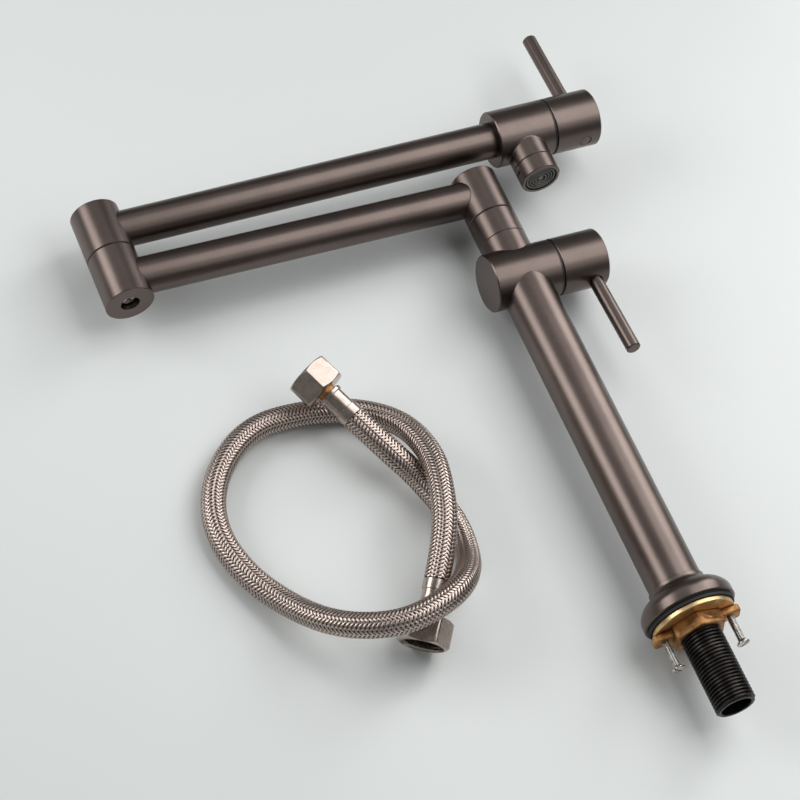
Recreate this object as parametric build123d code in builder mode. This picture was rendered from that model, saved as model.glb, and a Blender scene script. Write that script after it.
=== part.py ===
from build123d import *
import math
import os

# Deck-mounted double-jointed pot filler, lying on a table beside its braided supply hose.
# Millimetres. +Y runs up the column, the arms point to -X, and +Z is up from the table.
# Heights are measured up the column from the underside of the base flange.

os.makedirs("parts", exist_ok=True)

# --- driving dimensions -------------------------------------------------------
# column and its foot
thread_radius = 10.48
thread_half_depth = 0.58
shank_bore_radius = 7.9
shank_drop = 52.3
shank_chamfer = 1.0
flange_radius = 24.2
flange_rim_height = 5.0
flange_height = 16.8
flange_shoulder_radius = 5.5
flange_floor = 4.0
riser_radius = 13.85
riser_wall = 1.5
neck_radius = 13.0
neck_rise = 22.1
neck_recess = 4.5
collar_length = 15.4
saddle_fillet = 0.6

# seals, washer and lock nut under the flange
ring_section = 2.6
ring_groove_depth = 1.8
ring_inset = 2.6
flange_rim_edge = 0.6
flange_lip = 0.4
shank_collar = 14.0
gasket_radius = 22.6
gasket_thickness = 1.4
washer_radius = 21.5
washer_thickness = 2.6
washer_edge = 0.4
gasket_hole_play = 0.4
nut_flats = 25.6
nut_height = 7.2
nut_turn = -12.0
ear_reach = 23.0
ear_width = 9.6
ear_thickness = 3.7
ear_corner = 2.0
nut_bar_length = 6.6
nut_bar_width = 1.1
nut_bar_depth = 0.4
nut_bar_drop = 5.0
clamp_screw_radius = 1.95
clamp_screw_reach = 17.3
clamp_screw_length = 17.2
clamp_head_radius = 3.5
clamp_head_height = 2.4
clamp_slot_width = 0.9
clamp_slot_depth = 1.1

# valve bodies and handles
lower_axis_height = 211.5
body_radius = 15.5
lower_body_left = 18.8
lower_body_right = 18.4
upper_body_left = 16.4
upper_body_right = 16.1
pocket_radius = 12.0
pocket_depth = 22.0
body_edge = 0.6
waterway_radius = 6.0
gland_radius = 14.9
gland_width = 1.0
cartridge_boss_radius = 8.5
spindle_radius = 4.0
spindle_length = 31.0
hub_length = 26.2
hub_edge = 0.7
spindle_socket_depth = 21.0
lever_radius = 3.9
lever_reach = 62.0
lower_lever_offset = 18.4
upper_lever_offset = 17.0
lower_lever_rise = 3.5
upper_lever_rise = -2.3
lever_seat = 7.0
lever_edge = 0.5
plug_radius = 3.4
plug_seat = 8.5
plug_sink = 0.3

# arms and their joints
arm_radius = 9.85
arm_wall = 1.2
arm_reach = 202.9
inner_arm_swing = 0.47
outer_arm_swing = -1.35
arm_seat = 8.0
arm_hole_edge = 0.3
elbow_radius = 13.0
elbow_edge = 0.7
inner_arm_rise = 16.3
inner_elbow_cap = 11.1
outer_elbow_drop = 14.8
outer_elbow_rise = 14.8
upper_arm_rise = 15.3
upper_elbow_cap = 13.2
spigot_radius = 7.8
spigot_bore_radius = 4.6
spigot_socket = 6.0
spigot_floor = 3.5
spigot_port_radius = 3.0
outer_spigot_length = 22.0
joint_washer_radius = 12.5
joint_washer_thickness = 0.4
swivel_ring_section = 1.8
swivel_ring_pitch = 5.0
swivel_ring_inset = 4.0
swivel_ring_foot = 2.2
swivel_screw_radius = 2.5
swivel_head_radius = 4.2
swivel_head_height = 2.2
swivel_hole_radius = 5.1
swivel_hole_depth = 5.0
cross_width = 1.1
cross_length = 5.0
cross_depth = 1.2
line_edge = 0.3
body_wall = 8.0

# spout and aerator
spout_offset = 35.0
spout_radius = 11.2
spout_bore_radius = 8.2
stub_drop = 22.2
aerator_length = 9.8
aerator_bore_radius = 9.8
aerator_lip_radius = 9.3
aerator_lip = 1.0
aerator_flat_distance = 10.5
aerator_flat_height = 6.6
aerator_edge = 0.35
insert_disc = 2.4
insert_rings = 4
insert_ring_width = 0.8
insert_ring_height = 0.7
insert_hub_radius = 1.1
aerator_seal_thickness = 1.6

# supply hose
hose_radius = 6.5
hose_nut_flats = 23.0
hose_nut_length = 14.0
hose_nut_back = 2.5
hose_nut_relief_radius = 10.9
hose_nut_edge = 0.8
hose_neck_radius = 4.9
hose_bore_radius = 4.0
hose_flange_radius = 9.4
hose_flange_thickness = 2.0
hose_seal_thickness = 2.0
hose_neck_gap = 2.0
bead_radius = 6.8
bead_width = 2.4
sleeve_radius = 5.9
sleeve_length = 9.2
crimp_radius = 6.3
crimp_length = 5.6
bead_edge = 0.6
hose_straight = 24.0
arc_share = 0.45
hose_first_end = (-117.3, 155.3, 23.4)
hose_first_heading = (118.5, 10.0)
hose_first_roll = 3.0
hose_second_end = (-112.1, 57.1, 21.2)
hose_second_heading = (-122.5, -16.0)
hose_second_roll = 6.0

# named clearances
slip_fit = 0.05
turning_gap = 0.3
swivel_gap = 0.1

# --- worked out from them ------------------------------------------------------
ring_radius = flange_radius - ring_inset
gasket_top = ring_groove_depth - ring_section
washer_top = gasket_top - gasket_thickness
nut_top = washer_top - washer_thickness
nut_low = nut_top - nut_height
neck_line_height = lower_axis_height + neck_rise
elbow_base = neck_line_height + collar_length + joint_washer_thickness + swivel_gap
lower_arm_height = elbow_base + inner_arm_rise
outer_elbow_base = lower_arm_height - outer_elbow_drop
outer_elbow_line = lower_arm_height + outer_elbow_rise
upper_elbow_base = outer_elbow_line + joint_washer_thickness + swivel_gap
upper_arm_height = upper_elbow_base + upper_arm_rise
stub_line_height = upper_arm_height - stub_drop
aerator_line = stub_line_height - swivel_gap
gland_gap = gland_width + turning_gap
lower_hub_start = lower_body_right + gland_gap
upper_hub_start = spout_offset + upper_body_right + gland_gap

# The arms lie swung a little up and down from the table, in degrees about their joints.
inner_lean = math.radians(inner_arm_swing)
outer_lean = math.radians(inner_arm_swing + outer_arm_swing)
lever_lean = math.radians(abs(upper_lever_rise))
outer_axis_x = -arm_reach * math.cos(inner_lean)
outer_arm_end = arm_reach + upper_hub_start + hub_length
upper_right_end = outer_axis_x + outer_arm_end * math.cos(outer_lean)
upper_right_end += (body_radius - hub_edge) * abs(math.sin(outer_lean))
lever_top = upper_arm_height + lever_reach * math.cos(lever_lean)
lever_top += (lever_radius - lever_edge) * math.sin(lever_lean)

# The box of the tap is centred on the origin and stands on the table.
left_end = outer_axis_x - elbow_radius
right_end = max(upper_right_end, lower_hub_start + hub_length)
bottom_end = -shank_drop
top_end = max(lever_top, upper_arm_height + upper_elbow_cap)
column_x = -(left_end + right_end) / 2
base_y = -(bottom_end + top_end) / 2
axis_height = flange_radius


def front(x=0.0, height=0.0):
    """Plane through the column's axis: local x runs across, local y up the column."""
    return Plane(origin=(column_x + x, base_y + height, axis_height))


def level(height, x=0.0, turn=0.0):
    """Plane square to the column, facing up it. Local y points down at the table."""
    origin = (column_x + x, base_y + height, axis_height)
    turned = math.radians(turn)
    return Plane(origin=origin, x_dir=(math.cos(turned), 0, -math.sin(turned)), z_dir=(0, 1, 0))


def across(x, height):
    """Plane square to the arms, facing +X. Local x runs up the column, local y up."""
    origin = (column_x + x, base_y + height, axis_height)
    return Plane(origin=origin, x_dir=(0, 1, 0), z_dir=(1, 0, 0))


def up_axis(x=0.0):
    return Axis((column_x + x, base_y, axis_height), (0, 1, 0))


# Each arm is modelled square to the column, and then swung to where it lies.
inner_swings = [(up_axis(), inner_arm_swing)]
outer_swings = [(up_axis(-arm_reach), outer_arm_swing), (up_axis(), inner_arm_swing)]


def saddle_edges(builder):
    """Edges where one round form runs into another, which are neither circles nor lines."""
    return builder.edges().filter_by(
        lambda edge: edge.geom_type not in (GeomType.CIRCLE, GeomType.LINE)
    )


def save(builder, name, swings=()):
    piece = builder.part
    for axis, angle in swings:
        piece = piece.rotate(axis, angle)
    piece.label = name
    export_step(piece, f"parts/{name}.step")


def turned_ring(name, axis_x, inner, outer, low, high, edge=0.0, swings=()):
    """A plain ring about the column's direction, with its rims eased by edge."""
    with BuildPart() as ring:
        with BuildSketch(level(low, axis_x)):
            Circle(outer)
            Circle(inner, mode=Mode.SUBTRACT)
        extrude(amount=high - low)
        if edge > 0:
            rims = ring.edges().filter_by(GeomType.CIRCLE).group_by(SortBy.RADIUS)[-1]
            chamfer(rims, edge)
    save(ring, name, swings)


# --- base flange and shank -------------------------------------------------------
with BuildPart() as base_flange:
    with BuildSketch(front()):
        with BuildLine():
            shoulder = FilletPolyline(
                (flange_radius, flange_rim_edge),
                (flange_radius, flange_rim_height),
                (riser_radius + slip_fit + flange_lip, flange_height),
                radius=flange_shoulder_radius,
            )
            Polyline(
                shoulder @ 1,
                (riser_radius + slip_fit, flange_height),
                (riser_radius + slip_fit, flange_floor),
                (thread_radius + slip_fit, flange_floor),
                (thread_radius + slip_fit, 0),
                (flange_radius - flange_rim_edge, 0),
                shoulder @ 0,
            )
        make_face()
        with Locations((ring_radius, ring_groove_depth / 2)):
            Rectangle(ring_section, ring_groove_depth, mode=Mode.SUBTRACT)
    revolve(axis=up_axis())
save(base_flange, "base_flange")

with BuildPart() as threaded_shank:
    with BuildSketch(level(-shank_drop)):
        Circle(thread_radius)
    extrude(amount=shank_drop + flange_floor)
    with BuildSketch(level(flange_floor)):
        Circle(riser_radius - riser_wall - slip_fit)
    extrude(amount=shank_collar)
    with BuildSketch(level(-shank_drop)):
        Circle(shank_bore_radius)
    extrude(amount=shank_drop + flange_floor + shank_collar, mode=Mode.SUBTRACT)
    # Engaged with the nut, the two threads meet on their pitch line.
    with BuildSketch(level(nut_low)):
        Circle(thread_radius)
        Circle(thread_radius - thread_half_depth, mode=Mode.SUBTRACT)
    extrude(amount=nut_height, mode=Mode.SUBTRACT)
    shank_rims = threaded_shank.edges().filter_by(GeomType.CIRCLE).group_by(Axis.Y)[0]
    chamfer(shank_rims.sort_by(SortBy.RADIUS)[-1], shank_chamfer)
save(threaded_shank, "threaded_shank")

with BuildPart() as flange_o_ring:
    with BuildSketch(front()):
        with Locations((ring_radius, ring_groove_depth - ring_section / 2)):
            Circle(ring_section / 2)
    revolve(axis=up_axis())
save(flange_o_ring, "flange_o_ring")

hole_radius = thread_radius + gasket_hole_play
turned_ring("deck_gasket", 0, hole_radius, gasket_radius, washer_top, gasket_top)
turned_ring("deck_washer", 0, hole_radius, washer_radius, nut_top, washer_top, washer_edge)

# --- lock nut with two ears, and its clamp screws ----------------------------------
nut_corner = nut_flats / 2 / math.cos(math.pi / 6)
with BuildPart() as lock_nut:
    nut_plane = level(nut_low, turn=nut_turn)
    ear_plane = level(nut_top - ear_thickness, turn=nut_turn)
    with BuildSketch(nut_plane):
        RegularPolygon(radius=nut_corner, side_count=6, rotation=30)
    extrude(amount=nut_height)
    with BuildSketch(ear_plane):
        RectangleRounded(2 * ear_reach, ear_width, ear_corner)
    extrude(amount=ear_thickness)
    with BuildSketch(level(nut_top - nut_bar_drop, turn=nut_turn)):
        for face_angle in (60, 120, 240, 300):
            with PolarLocations(nut_flats / 2, 1, start_angle=face_angle):
                Rectangle(2 * nut_bar_depth, nut_bar_length)
    extrude(amount=nut_bar_width)
    with BuildSketch(nut_plane):
        Circle(thread_radius - thread_half_depth + slip_fit)
    extrude(amount=nut_height, mode=Mode.SUBTRACT)
    with BuildSketch(ear_plane):
        with PolarLocations(clamp_screw_reach, 2):
            Circle(clamp_screw_radius + slip_fit)
    extrude(amount=ear_thickness, mode=Mode.SUBTRACT)
save(lock_nut, "lock_nut")

with BuildPart() as clamp_screws:
    head_plane = level(nut_top - clamp_screw_length - clamp_head_height, turn=nut_turn)
    with BuildSketch(head_plane):
        with PolarLocations(clamp_screw_reach, 2):
            Circle(clamp_head_radius)
    extrude(amount=clamp_head_height)
    head_rims = clamp_screws.edges().group_by(Axis.Y)[0]
    fillet(head_rims, clamp_head_height * 0.6)
    with BuildSketch(level(nut_top, turn=nut_turn)):
        with PolarLocations(clamp_screw_reach, 2):
            Circle(clamp_screw_radius)
    extrude(amount=-clamp_screw_length)
    with BuildSketch(head_plane):
        with PolarLocations(clamp_screw_reach, 2):
            Rectangle(clamp_slot_width, 2 * clamp_head_radius)
    extrude(amount=clamp_slot_depth, mode=Mode.SUBTRACT)
save(clamp_screws, "clamp_screws")

# --- column ------------------------------------------------------------------------
with BuildPart() as riser_tube:
    with BuildSketch(level(flange_floor)):
        Circle(riser_radius)
        Circle(riser_radius - riser_wall, mode=Mode.SUBTRACT)
    extrude(amount=lower_axis_height - flange_floor)
    with BuildSketch(across(-lower_body_left, lower_axis_height)):
        Circle(body_radius)
    extrude(amount=lower_body_left + lower_body_right, mode=Mode.SUBTRACT)
save(riser_tube, "riser_tube")

with BuildPart() as lower_valve_body:
    with BuildSketch(across(-lower_body_left, lower_axis_height)):
        Circle(body_radius)
    extrude(amount=lower_body_left + lower_body_right)
    closed_rim = lower_valve_body.edges().filter_by(GeomType.CIRCLE).sort_by(Axis.X)[0]
    chamfer(closed_rim, body_edge)
    gland_rim = lower_valve_body.edges().filter_by(GeomType.CIRCLE).sort_by(Axis.X)[-1]
    chamfer(gland_rim, line_edge)
    with BuildSketch(level(lower_axis_height)):
        Circle(neck_radius)
    extrude(amount=neck_rise)
    fillet(saddle_edges(lower_valve_body), saddle_fillet)
    neck_rim = lower_valve_body.edges().filter_by(GeomType.CIRCLE).sort_by(Axis.Y)[-1]
    chamfer(neck_rim, line_edge)
    with BuildSketch(across(lower_body_right, lower_axis_height)):
        Circle(pocket_radius)
    extrude(amount=-pocket_depth, mode=Mode.SUBTRACT)
    with BuildSketch(level(lower_axis_height - body_radius)):
        Circle(waterway_radius)
    extrude(amount=body_radius, mode=Mode.SUBTRACT)
    with BuildSketch(level(lower_axis_height)):
        Circle(waterway_radius)
    extrude(amount=neck_rise, mode=Mode.SUBTRACT)
    with BuildSketch(level(neck_line_height)):
        Circle(spigot_radius + slip_fit)
    extrude(amount=-neck_recess, mode=Mode.SUBTRACT)
save(lower_valve_body, "lower_valve_body")

collar_top = neck_line_height + collar_length
turned_ring(
    "neck_collar", 0, spigot_radius + slip_fit, neck_radius, neck_line_height, collar_top, line_edge
)

# --- inner swivel: a hollow spigot with two O-rings, and a nylon washer -----------------
inner_spigot_low = neck_line_height - neck_recess + turning_gap
inner_spigot_high = elbow_base + spigot_socket
first_inner_ring = elbow_base - swivel_ring_inset
inner_ring_heights = (first_inner_ring, first_inner_ring - swivel_ring_pitch)
ring_centre_radius = spigot_radius - swivel_ring_section / 2
with BuildPart() as inner_swivel_spigot:
    with BuildSketch(front()):
        with Locations((spigot_bore_radius, inner_spigot_low)):
            Rectangle(
                spigot_radius - spigot_bore_radius,
                inner_spigot_high - inner_spigot_low,
                align=(Align.MIN, Align.MIN),
            )
        for ring_height in inner_ring_heights:
            with Locations((ring_centre_radius, ring_height)):
                Rectangle(swivel_ring_section, swivel_ring_section, mode=Mode.SUBTRACT)
    revolve(axis=up_axis())
save(inner_swivel_spigot, "inner_swivel_spigot", inner_swings)


def swivel_rings(name, x, heights, swings):
    with BuildPart() as rings:
        with BuildSketch(front(x)):
            for height in heights:
                with Locations((ring_centre_radius, height)):
                    Circle(swivel_ring_section / 2)
        revolve(axis=up_axis(x))
    save(rings, name, swings)


swivel_rings("inner_swivel_rings", 0, inner_ring_heights, inner_swings)
turned_ring(
    "inner_swivel_washer",
    0,
    spigot_radius + slip_fit,
    joint_washer_radius,
    collar_top,
    collar_top + joint_washer_thickness,
)

# --- inner arm: elbow, tube, lower half of the outer joint ----------------------------
with BuildPart() as inner_elbow:
    with BuildSketch(level(elbow_base)):
        Circle(elbow_radius)
    extrude(amount=inner_arm_rise + inner_elbow_cap)
    inner_elbow_top = inner_elbow.edges().filter_by(GeomType.CIRCLE).sort_by(Axis.Y)[-1]
    fillet(inner_elbow_top, elbow_edge)
    inner_elbow_foot = inner_elbow.edges().filter_by(GeomType.CIRCLE).sort_by(Axis.Y)[0]
    chamfer(inner_elbow_foot, line_edge)
    with BuildSketch(across(-elbow_radius, lower_arm_height)):
        Circle(arm_radius)
    extrude(amount=elbow_radius - arm_seat, mode=Mode.SUBTRACT)
    fillet(saddle_edges(inner_elbow), arm_hole_edge)
    with BuildSketch(across(-arm_seat, lower_arm_height)):
        Circle(waterway_radius)
    extrude(amount=arm_seat, mode=Mode.SUBTRACT)
    with BuildSketch(level(elbow_base)):
        Circle(spigot_radius)
    extrude(amount=spigot_socket, mode=Mode.SUBTRACT)
    with BuildSketch(level(elbow_base)):
        Circle(spigot_bore_radius)
    extrude(amount=inner_arm_rise, mode=Mode.SUBTRACT)
save(inner_elbow, "inner_elbow", inner_swings)


def arm_tube(name, start_x, end_x, height, swings):
    with BuildPart() as tube:
        with BuildSketch(across(start_x, height)):
            Circle(arm_radius)
            Circle(arm_radius - arm_wall, mode=Mode.SUBTRACT)
        extrude(amount=end_x - start_x)
    save(tube, name, swings)


arm_tube("inner_arm_tube", -arm_reach + arm_seat, -arm_seat, lower_arm_height, inner_swings)

with BuildPart() as outer_lower_elbow:
    with BuildSketch(level(outer_elbow_base, -arm_reach)):
        Circle(elbow_radius)
    extrude(amount=outer_elbow_line - outer_elbow_base)
    chamfer(outer_lower_elbow.edges().filter_by(GeomType.CIRCLE), line_edge)
    with BuildSketch(across(-arm_reach + elbow_radius, lower_arm_height)):
        Circle(arm_radius)
    extrude(amount=arm_seat - elbow_radius, mode=Mode.SUBTRACT)
    fillet(saddle_edges(outer_lower_elbow), arm_hole_edge)
    with BuildSketch(across(-arm_reach + arm_seat, lower_arm_height)):
        Circle(waterway_radius)
    extrude(amount=-arm_seat, mode=Mode.SUBTRACT)
    with BuildSketch(level(outer_elbow_line, -arm_reach)):
        Circle(spigot_radius + slip_fit)
    extrude(amount=-outer_spigot_length - turning_gap, mode=Mode.SUBTRACT)
    with BuildSketch(level(outer_elbow_base, -arm_reach)):
        Circle(swivel_hole_radius)
    extrude(amount=swivel_hole_depth, mode=Mode.SUBTRACT)
    with BuildSketch(level(outer_elbow_base, -arm_reach)):
        Circle(swivel_screw_radius + slip_fit)
    extrude(amount=outer_elbow_drop, mode=Mode.SUBTRACT)
save(outer_lower_elbow, "outer_lower_elbow", inner_swings)

turned_ring(
    "outer_swivel_washer",
    -arm_reach,
    spigot_radius + slip_fit,
    joint_washer_radius,
    outer_elbow_line,
    outer_elbow_line + joint_washer_thickness,
    swings=inner_swings,
)

# --- outer arm: upper half of the joint with its spigot and screw, tube ---------------
outer_spigot_end = outer_elbow_line - outer_spigot_length
outer_ring_heights = (outer_elbow_line - swivel_ring_inset, outer_spigot_end + swivel_ring_foot)
with BuildPart() as outer_upper_elbow:
    with BuildSketch(level(upper_elbow_base, -arm_reach)):
        Circle(elbow_radius)
    extrude(amount=upper_arm_rise + upper_elbow_cap)
    outer_elbow_top = outer_upper_elbow.edges().filter_by(GeomType.CIRCLE).sort_by(Axis.Y)[-1]
    fillet(outer_elbow_top, elbow_edge)
    outer_elbow_foot = outer_upper_elbow.edges().filter_by(GeomType.CIRCLE).sort_by(Axis.Y)[0]
    chamfer(outer_elbow_foot, line_edge)
    with BuildSketch(across(-arm_reach + elbow_radius, upper_arm_height)):
        Circle(arm_radius)
    extrude(amount=arm_seat - elbow_radius, mode=Mode.SUBTRACT)
    fillet(saddle_edges(outer_upper_elbow), arm_hole_edge)
    with BuildSketch(level(outer_spigot_end, -arm_reach)):
        Circle(spigot_radius)
    extrude(amount=upper_elbow_base - outer_spigot_end)
    with BuildSketch(front(-arm_reach)):
        for ring_height in outer_ring_heights:
            with Locations((ring_centre_radius, ring_height)):
                Rectangle(swivel_ring_section, swivel_ring_section)
    revolve(axis=up_axis(-arm_reach), mode=Mode.SUBTRACT)
    with BuildSketch(level(outer_spigot_end + spigot_floor, -arm_reach)):
        Circle(spigot_bore_radius)
    extrude(amount=upper_arm_height - outer_spigot_end - spigot_floor, mode=Mode.SUBTRACT)
    with BuildSketch(level(outer_spigot_end, -arm_reach)):
        Circle(swivel_screw_radius)
    extrude(amount=spigot_floor, mode=Mode.SUBTRACT)
    with BuildSketch(across(-arm_reach + arm_seat, upper_arm_height)):
        Circle(waterway_radius)
    extrude(amount=-arm_seat, mode=Mode.SUBTRACT)
    with BuildSketch(across(-arm_reach, lower_arm_height)):
        Circle(spigot_port_radius)
    extrude(amount=spigot_radius, mode=Mode.SUBTRACT)
save(outer_upper_elbow, "outer_upper_elbow", outer_swings)
swivel_rings("outer_swivel_rings", -arm_reach, outer_ring_heights, outer_swings)

with BuildPart() as swivel_screw:
    swivel_seat = outer_elbow_base + swivel_hole_depth - swivel_gap
    with BuildSketch(level(swivel_seat - swivel_head_height, -arm_reach)):
        Circle(swivel_head_radius)
    extrude(amount=swivel_head_height)
    fillet(swivel_screw.edges().group_by(Axis.Y)[0], swivel_head_height / 2)
    with BuildSketch(level(swivel_seat, -arm_reach)):
        Circle(swivel_screw_radius)
    extrude(amount=outer_spigot_end + spigot_floor - swivel_seat)
    with BuildSketch(level(swivel_seat - swivel_head_height, -arm_reach, turn=45)):
        Rectangle(cross_length, cross_width)
        Rectangle(cross_width, cross_length)
    extrude(amount=cross_depth, mode=Mode.SUBTRACT)
save(swivel_screw, "swivel_screw", outer_swings)

body_start = spout_offset - upper_body_left
tube_end = body_start + body_wall
arm_tube("outer_arm_tube", -arm_reach + arm_seat, tube_end, upper_arm_height, outer_swings)

# --- spout body and aerator -----------------------------------------------------------
with BuildPart() as spout_body:
    with BuildSketch(across(body_start, upper_arm_height)):
        Circle(body_radius)
    extrude(amount=upper_body_left + upper_body_right)
    arm_side_rim = spout_body.edges().filter_by(GeomType.CIRCLE).sort_by(Axis.X)[0]
    chamfer(arm_side_rim, body_edge)
    handle_side_rim = spout_body.edges().filter_by(GeomType.CIRCLE).sort_by(Axis.X)[-1]
    chamfer(handle_side_rim, line_edge)
    with BuildSketch(level(stub_line_height, spout_offset)):
        Circle(spout_radius)
    extrude(amount=stub_drop)
    fillet(saddle_edges(spout_body), saddle_fillet)
    stub_rim = spout_body.edges().filter_by(GeomType.CIRCLE).sort_by(Axis.Y)[0]
    chamfer(stub_rim, line_edge)
    with BuildSketch(across(spout_offset + upper_body_right, upper_arm_height)):
        Circle(pocket_radius)
    extrude(amount=-pocket_depth, mode=Mode.SUBTRACT)
    with BuildSketch(across(body_start, upper_arm_height)):
        Circle(arm_radius)
    extrude(amount=body_wall, mode=Mode.SUBTRACT)
    with BuildSketch(across(body_start, upper_arm_height)):
        Circle(waterway_radius)
    extrude(amount=upper_body_left, mode=Mode.SUBTRACT)
    with BuildSketch(level(stub_line_height, spout_offset)):
        Circle(spout_bore_radius)
    extrude(amount=stub_drop, mode=Mode.SUBTRACT)
save(spout_body, "spout_body", outer_swings)

aerator_rim = aerator_line - aerator_length
with BuildPart() as aerator_housing:
    with BuildSketch(level(aerator_rim, spout_offset)):
        Circle(spout_radius)
    extrude(amount=aerator_length)
    chamfer(aerator_housing.edges().group_by(Axis.Y)[0], aerator_edge)
    chamfer(aerator_housing.edges().group_by(Axis.Y)[-1], line_edge)
    with BuildSketch(level(aerator_rim, spout_offset)):
        Rectangle(2 * spout_radius, 2 * spout_radius)
        Rectangle(2 * aerator_flat_distance, 2 * spout_radius, mode=Mode.SUBTRACT)
    extrude(amount=aerator_flat_height, mode=Mode.SUBTRACT)
    with BuildSketch(level(aerator_rim, spout_offset)):
        Circle(aerator_lip_radius)
    extrude(amount=aerator_lip, mode=Mode.SUBTRACT)
    with BuildSketch(level(aerator_rim + aerator_lip, spout_offset)):
        Circle(aerator_bore_radius)
    extrude(amount=aerator_length - aerator_lip, mode=Mode.SUBTRACT)
save(aerator_housing, "aerator_housing", outer_swings)

seal_low = aerator_line - aerator_seal_thickness
turned_ring(
    "aerator_seal",
    spout_offset,
    spout_bore_radius,
    aerator_bore_radius,
    seal_low,
    aerator_line,
    swings=outer_swings,
)

with BuildPart() as aerator_insert:
    insert_low = aerator_rim + aerator_lip
    with BuildSketch(level(insert_low, spout_offset)):
        Circle(aerator_bore_radius - slip_fit)
    extrude(amount=insert_disc)
    with BuildSketch(level(insert_low + insert_disc, spout_offset)):
        Circle(aerator_bore_radius - slip_fit)
        Circle(aerator_bore_radius - slip_fit - insert_ring_width, mode=Mode.SUBTRACT)
    extrude(amount=seal_low - insert_low - insert_disc)
    ring_step = (aerator_lip_radius - insert_hub_radius) / (insert_rings + 0.5)
    with BuildSketch(level(insert_low, spout_offset)):
        Circle(insert_hub_radius)
        for ring in range(1, insert_rings + 1):
            outer_edge = insert_hub_radius + ring * ring_step
            with BuildSketch(mode=Mode.ADD):
                Circle(outer_edge)
                Circle(outer_edge - insert_ring_width, mode=Mode.SUBTRACT)
    extrude(amount=-insert_ring_height)
save(aerator_insert, "aerator_insert", outer_swings)


# --- valve trim: gland ring, cartridge, spindle, hub, lever, plug ----------------------
def valve_trim(prefix, face_x, height, lever_side, lever_offset, lever_rise, swings=()):
    """Everything to the right of a body's face. lever_side is +1 up the column, -1 down it."""
    hub_x = face_x + gland_gap
    rise = math.radians(lever_rise)
    along_lever = Vector(0, lever_side * math.cos(rise), math.sin(rise))
    lever_centre = (column_x + hub_x + lever_offset, base_y + height, axis_height)
    lever_plane = Plane(origin=lever_centre, x_dir=(1, 0, 0), z_dir=along_lever)
    plug_plane = Plane(origin=lever_centre, x_dir=(1, 0, 0), z_dir=-along_lever)

    with BuildPart() as gland:
        with BuildSketch(across(face_x, height)):
            Circle(gland_radius)
            Circle(cartridge_boss_radius, mode=Mode.SUBTRACT)
        extrude(amount=gland_width)
    save(gland, f"{prefix}_gland_ring", swings)

    with BuildPart() as cartridge:
        with BuildSketch(across(face_x - pocket_depth, height)):
            Circle(pocket_radius - slip_fit)
        extrude(amount=pocket_depth)
        with BuildSketch(across(face_x, height)):
            Circle(cartridge_boss_radius)
        extrude(amount=gland_width)
        with BuildSketch(across(face_x + gland_width, height)):
            Circle(spindle_radius + slip_fit)
        extrude(amount=-(spindle_length - spindle_socket_depth), mode=Mode.SUBTRACT)
    save(cartridge, f"{prefix}_cartridge", swings)

    with BuildPart() as spindle:
        with BuildSketch(across(hub_x + spindle_socket_depth - spindle_length, height)):
            Circle(spindle_radius)
        extrude(amount=spindle_length)
    save(spindle, f"{prefix}_spindle", swings)

    with BuildPart() as hub:
        with BuildSketch(across(hub_x, height)):
            Circle(body_radius)
        extrude(amount=hub_length)
        chamfer(hub.edges().filter_by(GeomType.CIRCLE).sort_by(Axis.X)[-1], hub_edge)
        chamfer(hub.edges().filter_by(GeomType.CIRCLE).sort_by(Axis.X)[0], line_edge)
        with BuildSketch(across(hub_x, height)):
            Circle(spindle_radius)
        extrude(amount=spindle_socket_depth, mode=Mode.SUBTRACT)
        with BuildSketch(lever_plane.offset(lever_seat)):
            Circle(lever_radius)
        extrude(amount=body_radius, mode=Mode.SUBTRACT)
        with BuildSketch(plug_plane.offset(plug_seat)):
            Circle(plug_radius)
        extrude(amount=body_radius, mode=Mode.SUBTRACT)
        fillet(saddle_edges(hub), line_edge)
    save(hub, f"{prefix}_handle_hub", swings)

    with BuildPart() as lever:
        with BuildSketch(lever_plane.offset(lever_seat)):
            Circle(lever_radius)
        extrude(amount=lever_reach - lever_seat)
        lever_tips = lever.edges().filter_by(GeomType.CIRCLE).sort_by(Axis.Y)
        chamfer(lever_tips[-1] if lever_side > 0 else lever_tips[0], lever_edge)
    save(lever, f"{prefix}_lever", swings)

    with BuildPart() as plug:
        with BuildSketch(plug_plane.offset(plug_seat)):
            Circle(plug_radius)
        extrude(amount=body_radius - plug_seat - plug_sink)
    save(plug, f"{prefix}_hub_plug", swings)


upper_face = spout_offset + upper_body_right
valve_trim(
    "lower", lower_body_right, lower_axis_height, -1, lower_lever_offset, lower_lever_rise
)
valve_trim(
    "upper", upper_face, upper_arm_height, 1, upper_lever_offset, upper_lever_rise, outer_swings
)

# --- supply hose ---------------------------------------------------------------------
# The route is chosen by hand: across from the column, up the column, above the table.
# The loop passes under the first fitting, then over its own first stretch, and the
# first stretch comes back over the nut of the second fitting.
hose_middle = [
    (-95, 122, 11),
    (-84, 93, 6.6),
    (-88, 68, 12),
    (-101, 49, 30.5),
    (-118, 38, 36.5),
    (-143, 34, 35),
    (-168, 47, 25),
    (-183, 71, 10.5),
    (-197, 97, 7),
    (-202, 126, 6.6),
    (-191, 153, 6.6),
    (-166, 174, 6.6),
    (-137, 175, 6.6),
    (-110, 169, 7),
    (-91, 151, 14),
    (-87, 126, 23),
    (-91, 104, 28.5),
]


def heading(turn, rise):
    """Unit vector turned about +Z from +X, and raised from the table, in degrees."""
    turn, rise = math.radians(turn), math.radians(rise)
    flat = math.cos(rise)
    return Vector(flat * math.cos(turn), flat * math.sin(turn), math.sin(rise))


def on_table(x, y, z):
    return Vector(column_x + x, base_y + y, z)


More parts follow.
